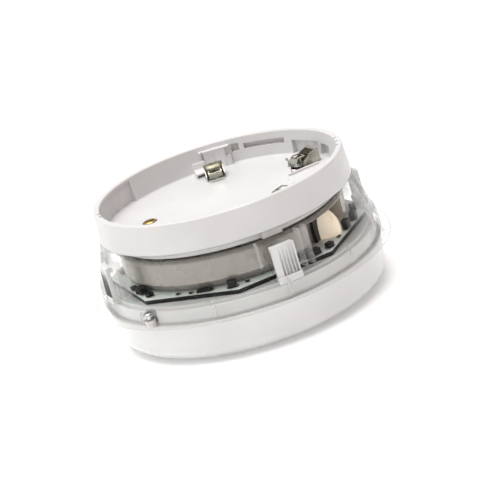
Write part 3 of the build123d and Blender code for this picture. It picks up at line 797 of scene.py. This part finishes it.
# %% Shape one snap tongue and copy it
tongue = band("snap_tongue", 54.2, 56.0, -32.6, -18.0, 11.7, 21.7)
carve(tongue, [band("hook", 52.8, 54.4, -20.0, -18.1, 11.8, 21.6)], "UNION")
carve(tongue, [band("foot", 53.6, 56.6, -32.7, -30.0, 11.6, 21.8)], "UNION")
grooves = [
    band("groove", 55.82, 57.2, -30.0, -17.6, 14.6 + 1.4 * k, 15.1 + 1.4 * k) for k in range(5)
]
carve(tongue, grooves)
soften(tongue, 0.15)
tongues = [tongue] + [
    copy_turned(tongue, "snap_tongue_copy", turn) for turn in (90, 180, 270)
]
snap_tongues = joined("snap_tongues", tongues)
place_piece(snap_tongues, FROSTED_LENS, stands_for=["lens_cover"])

# %% Shape the ribs beside the tongues and copy them
side_ribs = []
for start, low in ((6.4, -24.6), (25.0, -30.4), (28.6, -30.4)):
    side_rib = band("side_rib", 51.0, 54.6, low, -15.2, start, start + 1.1)
    soften(side_rib, 0.15)
    side_ribs.append(side_rib)
first_ribs = joined("first_ribs", side_ribs)
all_ribs = [first_ribs] + [copy_turned(first_ribs, "more_ribs", turn) for turn in (90, 180, 270)]
latch_ribs = joined("latch_ribs", all_ribs)
place_piece(latch_ribs, RIB_LENS, stands_for=["lens_cover"])

# %% [markdown]
# ## The front cap
#
# The cap is a smooth dish with a deep rounded corner. Its lip stands up inside
# the clear wall and shows through it as a white band. The sound comes out of
# a ring of slots in its middle.

# %% Turn the front cap
FRONT_Z = -57.0
CAP_INSIDE_Z = FRONT_Z + 2.2
cap_outline = [(0, CAP_INSIDE_Z), (44.5, CAP_INSIDE_Z)] + arc((44.5, -48.4), (8.8, 6.4), -90, 0, 8)[1:]
cap_outline += [(53.2, -41.0), (53.2, -33.7), (47.0, -33.7), (47.0, -32.5), (47.2, -32.3)]
cap_outline += [(53.2, -32.3), (53.4, -33.4), (54.7, -33.4), (54.9, -33.6)]
cap_outline += [(54.9, -39.1), (56.3, -39.1), (56.5, -39.3), (55.5, -49.0)]
cap_outline += arc((44.5, -49.0), (11.0, 8.0), 0, -90, 16)[1:] + [(0, FRONT_Z)]
front_cap = turned("front_cap", cap_outline, closed=False)
slot_outline = arc((22.5, 0), 1.0, -90, 90) + arc((15.5, 0), 1.0, 90, 270)
sound_slots = [plate("sound_slot", slot_outline, -57.5, -54.0, 15 * k) for k in range(24)]
carve(front_cap, sound_slots)
boss_room = [peg("boss_room", 3.1, -37.9, -32.8, spot, 40) for spot in BOSS_SPOTS]
carve(front_cap, boss_room)
for spot in BOSS_SPOTS:
    carve(front_cap, [peg("lug", 2.2, -39.2, -36.2, spot, 32)], "UNION")
soften(front_cap, 0.15)
place_piece(front_cap, WHITE_COVER, stands_for=["front_cover"])

# %% [markdown]
# ## The grey drum
#
# Behind the clear wall stands a drum of soft grey plastic. It has a rounded
# shoulder, and a niche on each side takes a lamp. The niche reaches further to
# one side, where it catches dark shadow.

# %% Turn the drum and cut its niches
drum_outline = [(33.0, -17.0), (44.2, -17.0)] + arc((44.2, -18.8), 1.8, 90, 0, 5)[1:]
drum_outline += [(46.0, -27.0), (43.0, -30.5), (41.4, -30.5), (44.4, -27.0), (44.4, -18.6)]
drum_outline += [(33.0, -18.6)]
grey_drum = turned("grey_drum", drum_outline)
LAMPS = {"front": -30, "rear": 150}
drum_posts = [peg("drum_post", 2.8, -30.5, -18.4, polar(40, a)) for a in (-80, 10, 100, 190)]
carve(grey_drum, drum_posts, "UNION")
for angle in LAMPS.values():
    box_walls = block("niche_walls", (36.0, 48.0), (-20.6, 10.1), (-30.5, -18.4), angle)
    carve(box_walls, [peg("round", 45.6, -32, -17, sides=144)], "INTERSECT")
    carve(grey_drum, [box_walls], "UNION")
niche_outline = [(37.5, -19.0), (50.0, -19.0), (50.0, 8.5), (37.5, 8.5)]
for angle in LAMPS.values():
    carve(grey_drum, [plate("niche", niche_outline, -31.0, -18.6, angle)])
shafts = [peg("screw_shaft", 1.3, -31.0, -16.5, polar(40, a), 24) for a in (-80, 10, 100, 190)]
carve(grey_drum, shafts)
lean_outline = [(43.0, -30.5), (46.0, -27.0), (50.0, -27.0), (50.0, -31.0), (43.0, -31.0)]
carve(grey_drum, [turned("lean", lean_outline)])
soften(grey_drum, 0.2)
place_piece(grey_drum, GREY_DRUM, stands_for=["inner_drum"])

# %% [markdown]
# ## The lamps
#
# A lamp is an upright soft oval on its carrier. It starts as a ball, is drawn
# out like a thumb, and is cut flat at its foot and its back.

# %% Mould the lamps
for lamp_name, angle in LAMPS.items():
    bpy.ops.object.select_all(action="DESELECT")
    bpy.ops.mesh.primitive_uv_sphere_add(
        segments=48, ring_count=32, radius=MM, location=(38.9 * MM, 0, -28.4 * MM)
    )
    lamp = named(f"cream_lamp_{lamp_name}")
    lamp.scale = (7.2, 4.7, 9.2)
    settle(lamp)
    foot_cut = block("foot_cut", (28, 50), (-9, 9), (-40, -30.5))
    back_cut = block("back_cut", (28, 38.9), (-9, 9), (-32, -18))
    carve(lamp, [foot_cut, back_cut])
    lamp.rotation_euler.z = radians(angle + 1)
    soften(settle(lamp), 0.3, segments=3, angle=60)
    place_piece(lamp, CREAM_LAMP, stands_for=[f"strobe_lamp_{lamp_name}"])

# %% [markdown]
# ## Small parts on the board
#
# The chips are black blocks with tinned feet, and no two are quite alike: some
# are squat, some tall. Each is drawn from its own row of angle, radius and size.

# %% Solder the chips and the resistors
CHIPS = [
    (-149, 47.2, 3.4, 4.6, 2.8), (-158, 46.8, 2.2, 2.4, 1.7), (-141, 48.6, 2.4, 2.6, 1.8),
    (-111, 46.2, 2.6, 6.0, 1.1), (-97, 48.2, 2.8, 3.4, 3.0), (-56, 47.7, 3.4, 6.4, 2.6),
    (-46, 48.9, 2.6, 3.0, 2.2), (-24, 47.0, 2.2, 3.6, 4.0), (-12, 48.0, 2.8, 4.2, 3.2),
    (2, 48.2, 2.6, 4.0, 2.4), (66, 46.7, 2.4, 4.0, 1.7), (82, 47.6, 2.4, 4.0, 1.7),
    (118, 46.7, 2.4, 4.0, 1.7), (171, 47.6, 2.4, 4.0, 1.7),
]
bodies = []
feet = []
for angle, radius, depth, width, height in CHIPS:
    low, high = radius - depth / 2, radius + depth / 2
    chip = block(
        "chip", (low, high), (-width / 2, width / 2), (-30.3, -30.5 + height), angle
    )
    soften(chip, 0.18)
    bodies.append(chip)
    for side in (-1, 1):
        edges = sorted((side * width / 2, side * (width / 2 + 0.7)))
        feet.append(block("foot", (low + 0.4, high - 0.4), edges, (-30.5, -30.1), angle))
board_chips = joined("board_chips", bodies)
place_piece(board_chips, BLACK_MOULDING, stands_for=["beacon_chips"])
chip_feet = joined("chip_feet", feet)
soften(chip_feet, 0.08)
place_piece(chip_feet, TINNED_METAL, stands_for=["beacon_chips"])

RESISTORS = (-162, -125, -118, -90, -64, -34, -5, 30, 60, 90, 128, 161)
cores = [block("core", (46, 47.2), (-0.75, 0.75), (-30.5, -29.9), a) for a in RESISTORS]
board_resistors = joined("board_resistors", cores)
soften(board_resistors, 0.06)
place_piece(board_resistors, BLACK_MOULDING, stands_for=["chip_resistors"])
ends = []
for angle in RESISTORS:
    for side in ((-1.0, -0.7), (0.7, 1.0)):
        ends.append(block("end_cap", (45.97, 47.23), side, (-30.5, -29.87), angle))
resistor_ends = joined("resistor_ends", ends)
soften(resistor_ends, 0.05)
place_piece(resistor_ends, TINNED_METAL, stands_for=["chip_resistors"])

# %% [markdown]
# ## The contacts
#
# A contact leaf is a strip that rises from its root, runs level and bends down
# at its tip, with a window through its top. The strip is drawn by its middle
# line: each point is pushed out by half the thickness on both sides. It rides
# on its own body, so it springs with its joint. The seat stays with the housing
# and holds the root between a step and a strap, and two cheeks guard the sides.


# %% Press a strip from its middle line
def strip(name, line, thickness, half, angle):
    """Make a bent strip from a middle line of (outwards, up) points."""
    above, below = [], []
    for k, (out, rise) in enumerate(line):
        before, after = line[max(k - 1, 0)], line[min(k + 1, len(line) - 1)]
        run = Vector((after[0] - before[0], after[1] - before[1])).normalized()
        push = Vector((-run.y, run.x)) * thickness / 2
        above.append((out + push.x, rise + push.y))
        below.append((out - push.x, rise - push.y))
    return plate(name, above + below[::-1], -half, half, angle, upright=True)


# %% Make the three leaves and their seats
CONTACTS = {1: (91, 36.0), 2: (23, 43.0), 3: (-45, 38.0)}
for number, (angle, root) in CONTACTS.items():
    line = [(root, -8.4), (root - 2.3, -8.4), (root - 2.9, -8.1), (root - 4.7, -6.5)]
    line += [(root - 5.3, -6.15), (root - 8.0, -6.1), (root - 8.7, -6.5), (root - 9.3, -7.3)]
    line += [(root - 9.9, -8.4)]
    leaf = strip(f"sprung_leaf_{number}", line, 0.4, 2.8, angle)
    window = block("leaf_window", (root - 8.8, root - 4.6), (-2.1, 2.1), (-8.3, -5), angle)
    carve(leaf, [window])
    soften(leaf, 0.08)
    place_piece(
        leaf,
        SPRUNG_METAL,
        body=f"leaf_{number}",
        stands_for=[f"contact_leaf_{number}"],
    )

    base = block("base", (root - 6.6, root + 0.8), (-4.0, 4.0), (-10.2, -9.8), angle)
    opening = block("opening", (root - 5.6, root - 1.9), (-2.4, 2.4), (-10.6, -9.4), angle)
    carve(base, [opening])
    cheek_line = [(root - 7.2, -10.2), (root + 0.8, -10.2), (root + 0.8, -5.0)]
    cheek_line += [(root - 1.2, -5.0), (root - 3.4, -5.7), (root - 6.2, -7.6)]
    cheek_line += [(root - 7.0, -8.4)]
    back_line = [(root + 0.8, -10.2), (root + 0.8, -4.9), (root - 1.0, -4.9)]
    back_line += [(root - 1.0, -5.4), (root + 0.35, -5.5), (root + 0.35, -10.2)]
    folds = [
        base,
        plate("cheek", cheek_line, -4.0, -3.6, angle, upright=True),
        plate("cheek", cheek_line, 3.6, 4.0, angle, upright=True),
        plate("seat_back", back_line, -3.9, 3.9, angle, upright=True),
        block("step", (root - 1.6, root + 0.5), (-2.6, 2.6), (-9.9, -8.95), angle),
        block("strap", (root - 1.6, root + 0.5), (-3.7, 3.7), (-7.9, -7.5), angle),
        block("tab", (root - 6.2, root - 5.8), (-0.5, 0.5), (-10.1, -7.4), angle),
        block("leg", (root - 6.0, root - 5.5), (-1.2, 1.2), (-16.9, -9.9), angle),
    ]
    seat = joined(f"metal_seat_{number}", folds)
    soften(seat, 0.1)
    place_piece(seat, TINNED_METAL, stands_for=[f"contact_seat_{number}"])

# %% [markdown]
# The opening under the second contact shows more sprung metal: a bright strip
# that curls down in an S, and a few folded plates below it.

# %% Curl the strips under the second contact
curl = [(33.4, -6.6), (33.6, -7.6), (34.3, -8.6), (34.0, -9.8), (33.2, -11.0), (33.4, -12.6)]
curled_strip = strip("curled_strip", curl, 0.4, 0.8, 31)
fold = [(29.8, -11.4), (33.4, -10.7), (36.0, -11.6), (39.5, -11.2)]
folded_plate = strip("folded_plate", fold, 0.4, 1.6, 17)
low_plate = block("low_plate", (30.0, 39.0), (-2.4, 0.6), (-12.6, -12.3), 14)
inner_strips = joined("inner_strips", [curled_strip, folded_plate, low_plate])
soften(inner_strips, 0.08)
place_piece(inner_strips, SPRUNG_METAL, stands_for=["contact_seat_2"])

# %% [markdown]
# ## The dials and the screws
#
# A dial is a gold button with a bevelled edge, a screwdriver slot and an arrow
# head. It rides on its own body and turns. A screw is a low dome with a cross
# cut into it.

# %% Turn the dials
DIALS = {"tens": (-30.5, -1.8), "units": (-27.0, -15.5)}
for dial_name, (across, along) in DIALS.items():
    dial_outline = [(0, -9.75), (2.3, -9.75), (2.75, -10.1), (2.75, -12.0), (1.5, -12.0)]
    dial_outline += [(1.5, -14.0), (0, -14.0)]
    dial = turned(f"gold_dial_{dial_name}", dial_outline, steps=48, closed=False)
    carve(dial, [block("dial_slot", (-2.1, 2.1), (-0.4, 0.4), (-10.7, -9.0))])
    carve(dial, [plate("arrow", [(0.9, -1.1), (2.2, 0), (0.9, 1.1)], -10.7, -9.0)])
    soften(dial, 0.08)
    dial.location = (across * MM, along * MM, 0)
    settle(dial)
    place_piece(
        dial,
        GOLD_METAL,
        body=f"{dial_name}_dial",
        stands_for=[f"{dial_name}_dial"],
    )

# %% Turn the cover screws
heads = []
for spot in BOSS_SPOTS:
    head_outline = [(0, -33.2), (1.2, -33.25), (1.9, -33.6), (2.1, -34.1), (2.1, -34.6)]
    head_outline += [(1.0, -34.6), (1.0, -38.6), (0, -38.6)]
    head = turned("screw_head", head_outline, steps=40, closed=False)
    carve(head, [block("cross", (-1.2, 1.2), (-0.3, 0.3), (-34.1, -32.0))])
    carve(head, [block("cross", (-0.3, 0.3), (-1.2, 1.2), (-34.1, -32.0))])
    head.rotation_euler.z = radians(24)
    head.location = (spot[0] * MM, spot[1] * MM, 0)
    heads.append(settle(head))
flange_screws = joined("flange_screws", heads)
soften(flange_screws, 0.06)
place_piece(flange_screws, ZINC_SCREWS, stands_for=["cover_screws"])

# %% [markdown]
# ## Bench, light and finish
#
# The bench is a plain near-white sheet under an even white sky, as in a
# catalogue. One large soft panel hangs at the left and above, which leaves the
# right of the object a little darker and pinker.

# %% Bench and light
bpy.ops.mesh.primitive_plane_add(size=6, location=(0, 0, (FRONT_Z - 0.05) * MM))
bench = named("bench")
bench_finish, bench_tree, bench_shader = new_finish(
    "bench_sheet",
    Base_Color=(0.93, 0.93, 0.93, 1),
    Roughness=0.9,
    Emission_Color=(1, 1, 1, 1),
    Emission_Strength=0.2,
)
bench.data.materials.append(bench_finish)

sky = bpy.data.worlds.new("white_sky")
bpy.context.scene.world = sky
sky.use_nodes = True
sky_tree = sky.node_tree
looking = sky_tree.nodes.new("ShaderNodeTexCoord")
towards = sky_tree.nodes.new("ShaderNodeVectorMath")
towards.operation = "DOT_PRODUCT"
towards.inputs[1].default_value = (0.85, -0.45, -0.25)
sky_tree.links.new(looking.outputs["Generated"], towards.inputs[0])
white, blush = (1.0, 0.997, 0.985), (0.38, 0.28, 0.27)
tone = ramp(sky_tree, towards.outputs["Value"], [(0.05, white), (0.6, blush)])
sky_tree.links.new(tone, sky_tree.nodes["Background"].inputs["Color"])
sky_tree.nodes["Background"].inputs["Strength"].default_value = 0.64


def panel(name, place, size, power, tint=(1, 1, 1)):
    """Hang a soft square light that looks at the object."""
    bpy.ops.object.light_add(type="AREA", location=place)
    light = named(name)
    light.data.shape = "RECTANGLE"
    light.data.size, light.data.size_y = size
    light.data.energy = power
    light.data.color = tint
    aim = Vector((0, 0, -0.02)) - Vector(place)
    light.rotation_euler = aim.to_track_quat("-Z", "Y").to_euler()
    return light


panel("key_panel", (-0.15, -0.05, 1.3), (1.1, 1.1), 19.0)
panel("strip_panel", (-1.2, -0.25, 0.15), (0.1, 0.8), 0.2)
bpy.context.scene.view_settings.view_transform = "Standard"
print("bench and lights set")
